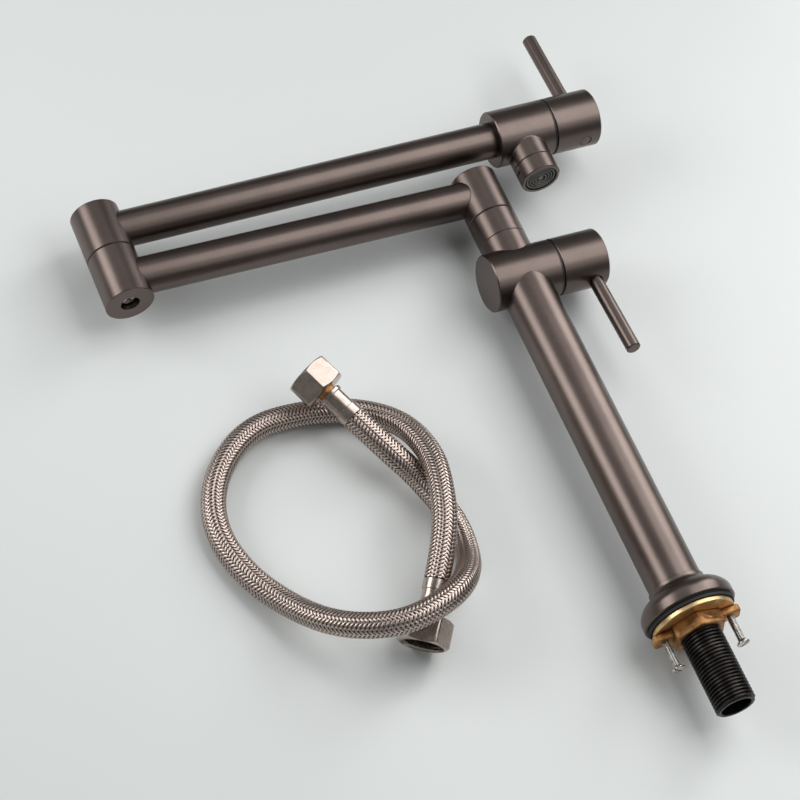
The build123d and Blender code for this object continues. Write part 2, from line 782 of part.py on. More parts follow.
first_end = on_table(*hose_first_end)
second_end = on_table(*hose_second_end)
first_out = heading(*hose_first_heading)
second_out = heading(*hose_second_heading)
route = [first_end, first_end - first_out * hose_straight]
route += [on_table(*point) for point in hose_middle]
route += [second_end - second_out * hose_straight, second_end]
runs = [(b - a).length for a, b in zip(route, route[1:])]
turns = [(b - a).get_angle(c - b) for a, b, c in zip(route, route[1:], route[2:])]
bends = [
    arc_share * min(before, after) / math.tan(math.radians(turn / 2))
    for before, after, turn in zip(runs, runs[1:], turns)
]
print("hose bend radii", [round(bend) for bend in bends])

with BuildPart() as supply_hose:
    with BuildLine() as hose_line:
        FilletPolyline(*route, radius=bends)
    with BuildSketch(Plane(origin=first_end, z_dir=-first_out)):
        Circle(hose_radius)
    sweep(path=hose_line.wires()[0])
hose_section = math.pi * hose_radius**2
hose_length = hose_line.wires()[0].length
print("hose tube length", round(hose_length, 1))
print("its volume over section times length", supply_hose.part.volume / hose_section / hose_length)
save(supply_hose, "supply_hose")

# --- hose fittings, each set out along its axis from the cut end of the braid ------------
bead_start = crimp_length + sleeve_length
neck_start = bead_start + bead_width
nut_start = neck_start + hose_neck_gap
flange_start = nut_start + hose_nut_back + turning_gap
seal_start = flange_start + hose_flange_thickness
seal_end = seal_start + hose_seal_thickness
thread_start = seal_end + turning_gap
hose_nut_corner = hose_nut_flats / 2 / math.cos(math.pi / 6)


def hose_fitting(prefix, end, out, roll):
    sideways = out.cross(Vector(0, 0, 1)).normalized()
    seat = Plane(origin=end, x_dir=sideways, z_dir=out)
    section_plane = Plane(origin=end, x_dir=sideways, z_dir=sideways.cross(out))
    axis = Axis(end, out)

    def shell(low, high, inner, outer):
        with Locations(((inner + outer) / 2, (low + high) / 2)):
            Rectangle(outer - inner, high - low)

    with BuildPart() as ferrule:
        with BuildSketch(section_plane):
            shell(0, crimp_length, hose_neck_radius, crimp_radius)
            shell(crimp_length, bead_start, hose_neck_radius, sleeve_radius)
            shell(bead_start, neck_start, hose_neck_radius, bead_radius)
        revolve(axis=axis)
        bead_rims = ferrule.edges().filter_by(GeomType.CIRCLE).group_by(SortBy.RADIUS)[-1]
        fillet(bead_rims, bead_edge)
        crimp_rims = ferrule.edges().filter_by(GeomType.CIRCLE).group_by(SortBy.RADIUS)[-2]
        chamfer(crimp_rims, line_edge)
    save(ferrule, f"{prefix}_ferrule")

    with BuildPart() as nipple:
        with BuildSketch(section_plane):
            shell(0, flange_start, hose_bore_radius, hose_neck_radius)
            shell(flange_start, seal_start, hose_bore_radius, hose_flange_radius)
        revolve(axis=axis)
    save(nipple, f"{prefix}_nipple")

    with BuildPart() as seal:
        with BuildSketch(section_plane):
            shell(seal_start, seal_end, hose_bore_radius, hose_flange_radius)
        revolve(axis=axis)
    save(seal, f"{prefix}_seal")

    with BuildPart() as nut:
        with BuildSketch(seat.offset(nut_start)):
            RegularPolygon(radius=hose_nut_corner, side_count=6, rotation=roll)
        extrude(amount=hose_nut_length)
        with BuildSketch(section_plane) as crown:
            with BuildLine():
                Polyline(
                    (hose_nut_flats / 2, nut_start),
                    (hose_nut_flats / 2 + hose_nut_edge * 3, nut_start),
                    (hose_nut_flats / 2 + hose_nut_edge * 3, nut_start + hose_nut_edge * 1.8),
                    close=True,
                )
            make_face()
            mirror(about=Plane(origin=(0, nut_start + hose_nut_length / 2, 0), z_dir=(0, 1, 0)))
        revolve(axis=axis, mode=Mode.SUBTRACT)
        with BuildSketch(seat.offset(nut_start)):
            Circle(hose_neck_radius + swivel_gap)
        extrude(amount=hose_nut_back, mode=Mode.SUBTRACT)
        with BuildSketch(seat.offset(nut_start + hose_nut_back)):
            Circle(hose_nut_relief_radius)
        extrude(amount=thread_start - nut_start - hose_nut_back, mode=Mode.SUBTRACT)
        with BuildSketch(seat.offset(thread_start)):
            Circle(thread_radius + slip_fit)
        extrude(amount=nut_start + hose_nut_length - thread_start, mode=Mode.SUBTRACT)
    save(nut, f"{prefix}_hose_nut")


hose_fitting("first", first_end, first_out, hose_first_roll)
hose_fitting("second", second_end, second_out, hose_second_roll)
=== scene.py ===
import math
import bmesh
import bpy
from mathutils import Matrix, Vector


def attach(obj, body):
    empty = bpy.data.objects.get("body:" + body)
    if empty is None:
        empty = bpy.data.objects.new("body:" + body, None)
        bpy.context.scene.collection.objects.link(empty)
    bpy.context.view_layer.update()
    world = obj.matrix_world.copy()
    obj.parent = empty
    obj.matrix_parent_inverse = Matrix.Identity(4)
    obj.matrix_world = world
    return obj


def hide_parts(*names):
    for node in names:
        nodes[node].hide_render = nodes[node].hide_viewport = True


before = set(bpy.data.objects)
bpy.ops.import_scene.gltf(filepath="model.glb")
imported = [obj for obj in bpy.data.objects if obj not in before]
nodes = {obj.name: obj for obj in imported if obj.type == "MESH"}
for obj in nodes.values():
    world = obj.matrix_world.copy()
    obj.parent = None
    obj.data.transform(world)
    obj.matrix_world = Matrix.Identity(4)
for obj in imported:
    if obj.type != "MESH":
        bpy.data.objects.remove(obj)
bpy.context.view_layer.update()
mm = 0.001
columnX = 68.546                                 # the column's axis, across the table
baseY = -153.093                                 # underside of the base flange
axisZ = 24.2                                     # the tap's axis above the table
print("frame loaded:", len(nodes), "nodes")


def onTable(x, y, z):
    return Vector((columnX + x, baseY + y, z)) * mm


# camera, at the photograph's viewing angle
cameraSet = {
    "place": (-434.97, -583.21, 1089.65),
    "forward": (0.3211, 0.4575, -0.8292),
    "up": (0.2421, 0.8068, 0.5389),
    "lens": 114.15,
    "sensor": 36.0,
    "clip": (0.05, 20.0),
}
forward = Vector(cameraSet["forward"]).normalized()
right = forward.cross(Vector(cameraSet["up"])).normalized()
upward = right.cross(forward)
cameraData = bpy.data.cameras.new("camera")
cameraData.lens = cameraSet["lens"]
cameraData.sensor_width = cameraSet["sensor"]
cameraData.clip_start, cameraData.clip_end = cameraSet["clip"]
camera = bpy.data.objects.new("camera", cameraData)
bpy.context.collection.objects.link(camera)
turned = Matrix((right, upward, -forward)).transposed().to_4x4()
camera.matrix_world = Matrix.Translation(Vector(cameraSet["place"]) * mm) @ turned
bpy.context.scene.camera = camera
print("camera set")


# shader maths
class Wire:                                      # a socket that can be reckoned with
    def __init__(self, finish, socket):
        self.finish, self.socket = finish, socket

    def join(self, operation, *values, clamp=False):
        settings = {"operation": operation, "use_clamp": clamp}
        return self.finish.add("ShaderNodeMath", settings, dict(enumerate(values)))

    def __add__(self, other): return self.join("ADD", self, other)
    def __radd__(self, other): return self.join("ADD", other, self)
    def __sub__(self, other): return self.join("SUBTRACT", self, other)
    def __rsub__(self, other): return self.join("SUBTRACT", other, self)
    def __mul__(self, other): return self.join("MULTIPLY", self, other)
    def __rmul__(self, other): return self.join("MULTIPLY", other, self)

    def clipped(self): return self.join("ADD", self, 0.0, clamp=True)
    def sine(self): return self.join("SINE", self)
    def size(self): return self.join("ABSOLUTE", self)
    def power(self, other): return self.join("POWER", self, other)


class Finish:                                    # one material and its nodes
    def __init__(self, name, **plain):
        self.material = bpy.data.materials.new(name)
        self.material.use_nodes = True
        self.tree = self.material.node_tree
        self.shader = self.tree.nodes["Principled BSDF"]
        for key, value in plain.items():
            self.shader.inputs[key.replace("_", " ")].default_value = value

    def add(self, kind, settings, inputs, output=0):
        node = self.tree.nodes.new(kind)
        for key, value in settings.items():
            setattr(node, key, value)
        for key, value in inputs.items():
            if isinstance(value, Wire):
                self.tree.links.new(value.socket, node.inputs[key])
            else:
                node.inputs[key].default_value = value
        return Wire(self, node.outputs[output])

    def place(self):
        return self.add("ShaderNodeTexCoord", {}, {}, "Object")

    def part(self, where, axis):                 # the X, Y or Z of a place
        return self.add("ShaderNodeSeparateXYZ", {}, {"Vector": where}, axis)

    def grain(self, scale, detail, stretch=None):
        where = self.place()
        if stretch:
            where = self.add("ShaderNodeMapping", {}, {"Vector": where, "Scale": stretch})
        inputs = {"Vector": where, "Scale": scale, "Detail": detail, "Roughness": 0.55}
        return self.add("ShaderNodeTexNoise", {}, inputs, "Fac")

    def ramp(self, amount, low, high):           # 0 below low, 1 above high
        inputs = {"Value": amount, "From Min": low, "From Max": high}
        return self.add("ShaderNodeMapRange", {"clamp": True}, inputs)

    def blend(self, amount, first, second):      # colours
        inputs = {"Factor": amount, 6: first, 7: second}
        return self.add("ShaderNodeMix", {"data_type": "RGBA"}, inputs, 2)

    def feed(self, **links):
        for key, wire in links.items():
            self.tree.links.new(wire.socket, self.shader.inputs[key.replace("_", " ")])

    def bump(self, height, distance):            # distance in metres
        inputs = {"Height": height, "Distance": distance, "Strength": 1.0}
        self.feed(Normal=self.add("ShaderNodeBump", {}, inputs))


def paint(r, g, b):                              # screen values, 0 to 255, as linear light
    return tuple(((v / 255 + 0.055) / 1.055) ** 2.4 if v > 10 else v / 3294 for v in (r, g, b)) + (1.0,)


# finishes
def gunmetalFinish():                            # brushed lightly along the tap
    look = {
        "cloud": (28.0, 4.0),                    # scale and detail
        "fleck": (2600.0, 2.0),
        "drawn": (900.0, 2.0, (1.0, 0.25, 1.0)),
        "mask": (0.36, 0.64),
        "dark": paint(96, 85, 81),
        "light": paint(112, 100, 95),
        "rough": 0.33,
        "spread": 0.07,
        "depth": 0.00002,
    }
    finish = Finish("gunmetal", Metallic=1.0)
    cloud, fleck, drawn = [finish.grain(*look[kind]) for kind in ("cloud", "fleck", "drawn")]
    tone = finish.ramp(cloud * 0.5 + fleck * 0.5, *look["mask"])
    finish.feed(Base_Color=finish.blend(tone, look["dark"], look["light"]))
    finish.feed(Roughness=look["rough"] + (cloud + fleck - 1.0) * look["spread"])
    finish.bump(fleck * 0.7 + drawn * 0.3, look["depth"])
    return finish.material


def grainyFinish(name, look):                    # clouds set the colour, flecks and clouds the gloss and relief
    finish = Finish(name, Metallic=look["metal"])
    cloud, fleck = finish.grain(*look["cloud"]), finish.grain(*look["fleck"])
    tone = finish.ramp(cloud, *look["mask"])
    finish.feed(Base_Color=finish.blend(tone, look["dark"], look["light"]))
    finish.feed(Roughness=look["rough"] + cloud * look["roughCloud"] + fleck * look["roughFleck"])
    finish.bump(fleck * (1.0 - look["pits"]) + cloud * look["pits"], look["depth"])
    return finish.material


threadLook = {
    "metal": 0.85, "cloud": (220.0, 4.0), "fleck": (3000.0, 2.0), "mask": (0.45, 0.7),
    "dark": paint(38, 35, 34), "light": paint(70, 64, 61),
    "rough": 0.3, "roughCloud": 0.0, "roughFleck": 0.2, "pits": 0.0, "depth": 0.00002,
}
turnedBrassLook = {
    "metal": 1.0, "cloud": (160.0, 5.0), "fleck": (1700.0, 3.0), "mask": (0.35, 0.68),
    "dark": paint(206, 170, 116), "light": paint(234, 206, 158),
    "rough": 0.26, "roughCloud": 0.16, "roughFleck": 0.0, "pits": 0.4, "depth": 0.00002,
}
castBrassLook = dict(
    turnedBrassLook, dark=paint(146, 100, 60), light=paint(212, 164, 112), rough=0.4, depth=0.0003,
)
blackPlasticLook = {
    "metal": 0.0, "cloud": (120.0, 4.0), "fleck": (1800.0, 3.0), "mask": (0.4, 0.62),
    "dark": paint(18, 18, 19), "light": paint(30, 29, 29),
    "rough": 0.4, "roughCloud": 0.0, "roughFleck": 0.15, "pits": 0.0, "depth": 0.00002,
}
greyPlasticLook = dict(blackPlasticLook, dark=paint(86, 82, 80), light=paint(116, 112, 108), rough=0.36)
steelLook = {
    "metal": 1.0, "cloud": (260.0, 4.0), "fleck": (2600.0, 2.0), "mask": (0.35, 0.65),
    "dark": paint(176, 170, 165), "light": paint(224, 219, 214),
    "rough": 0.2, "roughCloud": 0.07, "roughFleck": 0.07, "pits": 0.0, "depth": 0.000015,
}
nickelLook = dict(steelLook, dark=paint(170, 156, 147), light=paint(186, 172, 163))


def rubberFinish():
    look = {"fleck": (2400.0, 3.0), "dark": paint(16, 16, 17), "light": paint(34, 33, 33), "depth": 0.00003}
    finish = Finish("blackRubber", Metallic=0.0)
    fleck = finish.grain(*look["fleck"])
    finish.feed(Base_Color=finish.blend(fleck, look["dark"], look["light"]))
    finish.feed(Roughness=0.5 + fleck * 0.25)
    finish.bump(fleck, look["depth"])
    return finish.material


def braidFinish():                               # u runs along a strand, v across its wires
    look = {
        "wires": 5.0,
        "cloud": (400.0, 3.0),
        "dark": paint(50, 44, 41),
        "light": paint(222, 203, 193),
        "rough": 0.24,
        "depth": 0.00002,
    }
    finish = Finish("steelBraid", Metallic=1.0)
    across = finish.part(finish.add("ShaderNodeTexCoord", {}, {}, "UV"), "Y")
    # the wire wave is real relief in the bump, and in the colour it is painted light on each wire and painted
    # shade between them
    wire = (across * (math.pi * look["wires"])).sine().size()
    # painted shade at the edges of a strand
    edge = (across * 2.0 - 1.0).size().power(3.0)
    cloud = finish.grain(*look["cloud"])
    # painted shade and light: a strand is darker between its wires and at its edges, where shade falls, and
    # lighter along each wire's middle
    tone = (wire.power(0.5) * 0.35 + cloud * 0.3 + 0.42 - edge * 0.9).clipped()
    finish.feed(Base_Color=finish.blend(tone, look["dark"], look["light"]))
    finish.feed(Roughness=look["rough"] + cloud * 0.1)
    finish.bump(wire, look["depth"])
    return finish.material


def tubeFinish():                                # the hose under the braid: near-black like rubber, and darkened further as painted shade in the gaps between the strands
    look = {"fleck": (1500.0, 3.0), "dark": paint(14, 13, 13), "light": paint(28, 27, 26)}
    finish = Finish("hoseCoreGapShade", Metallic=0.0)
    fleck = finish.grain(*look["fleck"])
    finish.feed(Base_Color=finish.blend(fleck, look["dark"], look["light"]))
    finish.feed(Roughness=0.55 + fleck * 0.2)
    return finish.material


finishes = {
    "gunmetal": gunmetalFinish(),
    "black_thread": grainyFinish("blackThread", threadLook),
    "raw_brass": grainyFinish("rawBrass", turnedBrassLook),
    "castBrass": grainyFinish("castBrass", castBrassLook),
    "black_rubber": rubberFinish(),
    "black_plastic": grainyFinish("blackPlastic", blackPlasticLook),
    "grey_plastic": grainyFinish("greyPlastic", greyPlasticLook),
    "bright_steel": grainyFinish("brightSteel", steelLook),
    "champagne_nickel": grainyFinish("champagneNickel", nickelLook),
    "steel_braid": braidFinish(),
    "hoseCoreGapShade": tubeFinish(),
}
for name, node in nodes.items():
    for place in node.material_slots:
        place.material = finishes[place.material.name.split(".")[0]]
for name in ("lock_nut", "first_nipple", "second_nipple"):
    for place in nodes[name].material_slots:
        place.material = finishes["castBrass"]
print("finishes set:", len(finishes))


# making pieces
def makePiece(name, bm, finish, body, replaced, angle):
    mesh = bpy.data.meshes.new(name)
    bm.to_mesh(mesh)
    bm.free()
    mesh.materials.append(finishes[finish])
    mesh.shade_smooth()
    mesh.set_sharp_from_angle(angle=math.radians(angle))
    piece = bpy.data.objects.new(name, mesh)
    bpy.context.collection.objects.link(piece)
    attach(piece, body)
    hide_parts(*replaced)
    return piece


def spinOutline(outline, steps, closed=False, climb=0.0):    # (radius, height) pairs in mm, turned about +Y
    bm = bmesh.new()
    points = [bm.verts.new((radius * mm, height * mm, 0)) for radius, height in outline]
    nextPoints = points[1:] + points[:1] if closed else points[1:]
    profile = [bm.edges.new(pair) for pair in zip(points, nextPoints)]
    bmesh.ops.spin(
        bm, geom=points + profile, cent=(0, 0, 0), axis=(0, 1, 0), dvec=(0, climb * mm / steps, 0),
        angle=math.tau, steps=steps, use_merge=not climb, use_duplicate=False,
    )
    return bm


# supply hose: its line
hoseSet = {
    "core": 5.95,                                # radius under the braid
    "first": (-117.3, 155.3, 23.4),              # the braid's cut ends, and the way each points
    "firstOut": (-0.4699, 0.8655, 0.1736),
    "second": (-112.1, 57.1, 21.2),
    "secondOut": (-0.5165, -0.8107, -0.2756),
    "straight": 24.0,                            # to the first bend
    "middle": [
        (-95, 122, 11), (-84, 93, 6.6), (-88, 68, 12), (-101, 49, 30.5), (-118, 38, 36.5),
        (-143, 34, 35), (-168, 47, 25), (-183, 71, 10.5), (-197, 97, 7), (-202, 126, 6.6),
        (-191, 153, 6.6), (-166, 174, 6.6), (-137, 175, 6.6), (-110, 169, 7), (-91, 151, 14),
        (-87, 126, 23), (-91, 104, 28.5),
    ],
    "length": 535.7,
}
firstOut = Vector(hoseSet["firstOut"]).normalized()
secondOut = Vector(hoseSet["secondOut"]).normalized()
firstEnd = onTable(*hoseSet["first"])
secondEnd = onTable(*hoseSet["second"])
hoseRoute = [firstEnd, firstEnd - firstOut * hoseSet["straight"] * mm]
hoseRoute += [onTable(*point) for point in hoseSet["middle"]]
hoseRoute += [secondEnd - secondOut * hoseSet["straight"] * mm, secondEnd]


def makeLine(name, route):
    curve = bpy.data.curves.new(name, "CURVE")
    curve.dimensions = "3D"
    spline = curve.splines.new("NURBS")
    spline.points.add(len(route) - 1)
    for point, place in zip(spline.points, route):
        point.co = (*place, 1.0)
    spline.order_u = 3
    spline.use_endpoint_u = True
    spline.resolution_u = 24
    curve.resolution_u = 24
    line = bpy.data.objects.new(name, curve)
    bpy.context.collection.objects.link(line)
    return line


hoseTube = makeLine("hoseTube", hoseRoute)
bpy.context.view_layer.update()
lineMesh = bpy.data.meshes.new_from_object(hoseTube.evaluated_get(bpy.context.evaluated_depsgraph_get()))
linePoints = [vertex.co.copy() for vertex in lineMesh.vertices]
bpy.data.meshes.remove(lineMesh)
hoseTube.data.bevel_depth = hoseSet["core"] * mm
hoseTube.data.bevel_resolution = 6
hoseTube.data.use_fill_caps = True
hoseTube.data.materials.append(finishes["hoseCoreGapShade"])


class Track:                                     # a line cut into even steps, with a frame at each
    def __init__(self, points, step):
        marks = [0.0]
        for before, after in zip(points, points[1:]):
            marks.append(marks[-1] + (after - before).length)
        self.length = marks[-1]
        self.count = round(self.length / step)
        self.step = self.length / self.count
        self.places, reached = [], 0
        for index in range(self.count + 1):
            wanted = min(index * self.step, self.length)
            while reached < len(marks) - 2 and marks[reached + 1] < wanted:
                reached += 1
            share = (wanted - marks[reached]) / max(marks[reached + 1] - marks[reached], 1e-9)
            self.places.append(points[reached].lerp(points[reached + 1], share))
        self.frames = []
        across = None
        for index in range(self.count + 1):
            low, high = max(index - 1, 0), min(index + 1, self.count)
            ahead = (self.places[high] - self.places[low]).normalized()
            if across is None:
                across = ahead.cross(Vector((0, 0, 1))).normalized()
            across = (across - ahead * across.dot(ahead)).normalized()
            self.frames.append((across, ahead.cross(across)))

    def at(self, s, theta, radius):              # point at distance s, angle theta and radius
        spot = min(max(s / self.step, 0.0), self.count - 1e-6)
        index = int(spot)
        share = spot - index
        place = self.places[index].lerp(self.places[index + 1], share)
        side, top = [first.lerp(second, share) for first, second in zip(*self.frames[index:index + 2])]
        return place + (side * math.cos(theta) + top * math.sin(theta)) * radius


hoseTrack = Track(linePoints, 1.0 * mm)
print("hose line", round(hoseTrack.length / mm, 1), "mm")

# supply hose: braid, two crossing sets of flat strands
braidSet = {
    "strands": 12,
    "slope": 0.262,                              # turn per mm of hose, in radians
    "radius": 6.15,
    "lift": 0.22,                                # over and under
    "arch": 0.15,                                # crown across a strand
    "width": 1.22,
    "perTurn": 72,                               # mesh steps in a turn, and across a strand
    "across": 4,
    "cross": 1.25,                               # how sharply a strand changes level
    "end": 0.3,                                  # bare hose at each end
}


def braidStrands(hand):
    bm = bmesh.new()
    uvLayer = bm.loops.layers.uv.new("UVMap")
    low, high = braidSet["end"], hoseTrack.length / mm - braidSet["end"]
    turns = (high - low) * braidSet["slope"] / math.tau
    steps = round(turns * braidSet["perTurn"])
    pitch = math.atan(braidSet["slope"] * braidSet["radius"])
    half = braidSet["width"] / 2
    for strand in range(braidSet["strands"]):
        made = bmesh.ops.create_grid(bm, x_segments=steps, y_segments=braidSet["across"], size=1.0)
        phase = math.tau * strand / braidSet["strands"]
        marks = {}
        for vertex in made["verts"]:
            along, side = (vertex.co.x + 1) / 2, vertex.co.y
            s = low + along * (high - low)
            theta = hand * braidSet["slope"] * s + phase
            s -= side * half * math.sin(pitch)
            theta += hand * side * half * math.cos(pitch) / braidSet["radius"]
            wave = math.cos(math.pi / 2 * (braidSet["strands"] * theta / math.pi - 0.5))
            rise = hand * braidSet["lift"] * max(-1.0, min(1.0, wave * braidSet["cross"]))
            radius = braidSet["radius"] + rise + braidSet["arch"] * (1 - side * side)
            marks[vertex] = (along, (side + 1) / 2)
            vertex.co = hoseTrack.at(s * mm, theta, radius * mm)
        for face in {face for vertex in made["verts"] for face in vertex.link_faces}:
            for loop in face.loops:
                loop[uvLayer].uv = marks[loop.vert]
    if hand > 0:
        bmesh.ops.reverse_faces(bm, faces=bm.faces)
    return bm


for name, hand in (("braidRight", 1), ("braidLeft", -1)):
    makePiece(name, braidStrands(hand), "steel_braid", "hose", ["supply_hose"], 180)
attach(hoseTube, "hose")
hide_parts("supply_hose")
print("supply hose braided")


# threads
def threadShell(pitch, crest, root, low, high, steps, flat=0.12):
    # a helical skin about +Y, open at heights low and high, where spare turns are cut off
    turns = math.ceil((high - low) / pitch) + 3
    outline = []
    for turn in range(turns):
        start = low - 1.5 * pitch + turn * pitch
        outline += [(root, start - flat * pitch), (root, start + flat * pitch)]
        outline += [(crest, start + (0.5 - flat) * pitch), (crest, start + (0.5 + flat) * pitch)]
    bm = spinOutline(outline, steps, climb=pitch)
    bmesh.ops.remove_doubles(bm, verts=bm.verts, dist=pitch * mm * 0.02)
    for height, normal in ((low, (0, -1, 0)), (high, (0, 1, 0))):
        everything = bm.verts[:] + bm.edges[:] + bm.faces[:]
        bmesh.ops.bisect_plane(
            bm, geom=everything, dist=1e-7, plane_co=(0, height * mm, 0), plane_no=normal, clear_outer=True,
        )
    bmesh.ops.remove_doubles(bm, verts=bm.verts, dist=1e-6)
    return bm


def openRim(bm, height):                         # the open edges at one height
    def level(edge):
        return all(abs(vertex.co.y - height * mm) < 2e-6 for vertex in edge.verts)

    return [edge for edge in bm.edges if edge.is_boundary and level(edge)]


def carryRim(bm, rim, steps):                    # extrude a rim through (radius or shape, height) pairs
    for radius, height in steps:
        made = bmesh.ops.extrude_edge_only(bm, edges=rim)
        rim = [item for item in made["geom"] if isinstance(item, bmesh.types.BMEdge) and item.is_boundary]
        for vertex in {vertex for edge in rim for vertex in edge.verts}:
            reach = radius(math.atan2(vertex.co.z, vertex.co.x)) if callable(radius) else radius
            flat = Vector((vertex.co.x, 0, vertex.co.z)).normalized() * reach * mm
            vertex.co = (flat.x, height * mm, flat.z)
    return rim


def taperThread(bm, low, radius):                # ease the crests towards the low end
    for vertex in bm.verts:
        reach = math.hypot(vertex.co.x, vertex.co.z)
        most = (radius + (vertex.co.y / mm - low)) * mm
        if reach > most:
            vertex.co.x *= most / reach
            vertex.co.z *= most / reach


shankSet = {
    "pitch": 1.814,
    "crest": 10.48,
    "root": 9.35,
    "low": -52.3,
    "high": -12.1,
    "taper": 9.5,                                # crest radius at the free end
    "steps": 72,
    "upper": [(9.9, -12.1), (9.9, -4.8), (10.48, -4.8), (10.48, 4.0), (12.3, 4.0), (12.3, 18.0), (7.9, 18.0)],
    "lower": [(9.3, -52.3), (8.2, -52.3), (7.9, -52.0)],
}


def makeShank():
    s = shankSet
    bm = threadShell(s["pitch"], s["crest"], s["root"], s["low"], s["high"], s["steps"])
    taperThread(bm, s["low"], s["taper"])
    top, foot = openRim(bm, s["high"]), openRim(bm, s["low"])
    top, foot = carryRim(bm, top, s["upper"]), carryRim(bm, foot, s["lower"])
    bmesh.ops.bridge_loops(bm, edges=top + foot)        # the bore
    bmesh.ops.translate(bm, verts=bm.verts, vec=onTable(0, 0, axisZ))
    bmesh.ops.recalc_face_normals(bm, faces=bm.faces)
    return bm


makePiece("shank", makeShank(), "black_thread", "column", ["threaded_shank"], 40)
print("shank threaded")

# hose nuts: rounded hexagons with a chamfered crown and the thread inside
hoseNutSet = {
    "flats": 23.0,
    "ease": 1.7,                                 # radius between two faces
    "long": 14.0,
    "crown": 11.45,                              # radius at an end face, and how fast it grows
    "slope": 1.667,
    "blend": 0.4,
    "rings": [0.04 + 0.14 * step for step in range(9)],
    "rim": 0.15,                                 # eased edge of an end face
    "neck": 5.0,
    "back": 2.5,
    "relief": 10.9,
    "thread": 7.1,                               # where the thread starts
    "lead": 0.7,                                 # plain mouth beyond it
    "fade": 1.1,
    "flare": 0.25,
    "root": 10.53,
    "crest": 9.65,
    "steps": 180,
    "start": 19.2,                               # from the cut end of the braid
    "rolls": (3.0, 6.0),
}


def hexReach(angle, turn):
    s = hoseNutSet
    half = s["flats"] / 2
    off = abs((angle - turn) % (math.pi / 3) - math.pi / 6)
    if math.tan(off) * half < (half - s["ease"]) * math.tan(math.pi / 6):
        return half / math.cos(off)
    centre = (half - s["ease"]) / math.cos(math.pi / 6)
    beside = math.pi / 6 - off
    return centre * math.cos(beside) + math.sqrt(s["ease"] ** 2 - (centre * math.sin(beside)) ** 2)


def crownReach(angle, turn, limit):              # the nearer of the faces and the crown, blended
    face, blend = hexReach(angle, turn), hoseNutSet["blend"]
    near = max(blend - abs(face - limit), 0) / blend
    return min(face, limit) - near * near * blend / 4


def makeHoseNut(end, out, roll):
    s = hoseNutSet
    mouth = s["long"] - s["lead"]
    bm = threadShell(shankSet["pitch"], s["crest"], s["root"], s["thread"], mouth, s["steps"])
    for vertex in bm.verts:                      # the ribs fade out at the mouth
        reach = math.hypot(vertex.co.x, vertex.co.z)
        least = (s["root"] - (mouth - vertex.co.y / mm) * s["fade"]) * mm
        if reach < least:
            vertex.co.x *= least / reach
            vertex.co.z *= least / reach
    top, foot = openRim(bm, mouth), openRim(bm, s["thread"])
    turn = -math.radians(roll)
    marks = [s["long"] - mark for mark in s["rings"]] + [s["long"] / 2] + s["rings"][::-1]
    face = s["crown"] - s["rim"]
    path = [(s["root"] + s["flare"], s["long"]), (face, s["long"])]
    for mark in marks:
        limit = s["crown"] + s["slope"] * min(mark, s["long"] - mark)
        path.append((lambda angle, limit=limit: crownReach(angle, turn, limit), mark))
    path += [(face, 0.0), (s["neck"], 0.0), (s["neck"], s["back"])]
    path += [(s["relief"], s["back"]), (s["relief"], s["thread"])]
    top = carryRim(bm, top, path)
    bmesh.ops.bridge_loops(bm, edges=top + foot)
    side = out.cross(Vector((0, 0, 1))).normalized()
    stand = Matrix((side, out, side.cross(out))).transposed().to_4x4()
    stand.translation = end + out * s["start"] * mm
    bmesh.ops.transform(bm, matrix=stand, verts=bm.verts)
    bmesh.ops.recalc_face_normals(bm, faces=bm.faces)
    return bm


nickel = "champagne_nickel"
hoseFittings = [nodes[end + part] for end in ("first", "second") for part in ("_ferrule", "_nipple", "_seal")]
hoseEnds = (("first", firstEnd, firstOut), ("second", secondEnd, secondOut))
for (end, place, out), roll in zip(hoseEnds, hoseNutSet["rolls"]):
    nut = makeHoseNut(place, out, roll)
    hoseFittings.append(makePiece(end + "Nut", nut, nickel, end + "_nut", [end + "_hose_nut"], 40))
print("hose nuts made")


# base flange: a short collar that sweeps out to a round shoulder
flangeSet = {
    "steps": 144,
    "outside": [
        (13.9, 16.8), (14.6, 16.8), (14.75, 16.65), (14.75, 15.0), (14.9, 14.3), (15.4, 13.6),
        (16.3, 12.95), (17.5, 12.3), (18.9, 11.5), (20.3, 10.6), (21.6, 9.5), (22.7, 8.2),
        (23.5, 6.9), (24.0, 5.6), (24.2, 4.4), (24.2, 0.6), (23.6, 0.0),
    ],
    "inside": [
        (22.9, 0.0), (22.9, 1.8), (20.3, 1.8), (20.3, 0.0), (10.53, 0.0), (10.53, 4.0), (13.9, 4.0),
    ],
}


def makeFlange():
    bm = spinOutline(flangeSet["outside"] + flangeSet["inside"], flangeSet["steps"], closed=True)
    bmesh.ops.translate(bm, verts=bm.verts, vec=onTable(0, 0, axisZ))
    bmesh.ops.recalc_face_normals(bm, faces=bm.faces)
    return bm


makePiece("flange", makeFlange(), "gunmetal", "column", ["base_flange"], 30)
print("flange turned")


# lock nut and hub plugs: the solid's outer edges rounded
easedSets = [                                    # edges between the two spared heights stay sharp
    {
        "name": "lockNut", "node": "lock_nut", "width": 0.7, "spared": (-9.9, -8.6),
        "finish": "castBrass", "body": "column", "slot": "raw_brass",
    },
    {
        "name": "upperPlug", "node": "upper_hub_plug", "width": 0.5, "spared": (0, 0),
        "finish": "gunmetal", "body": "upper_handle", "slot": "gunmetal",
    },
    {
        "name": "lowerPlug", "node": "lower_hub_plug", "width": 0.5, "spared": (0, 0),
        "finish": "gunmetal", "body": "lower_handle", "slot": "gunmetal",
    },
]


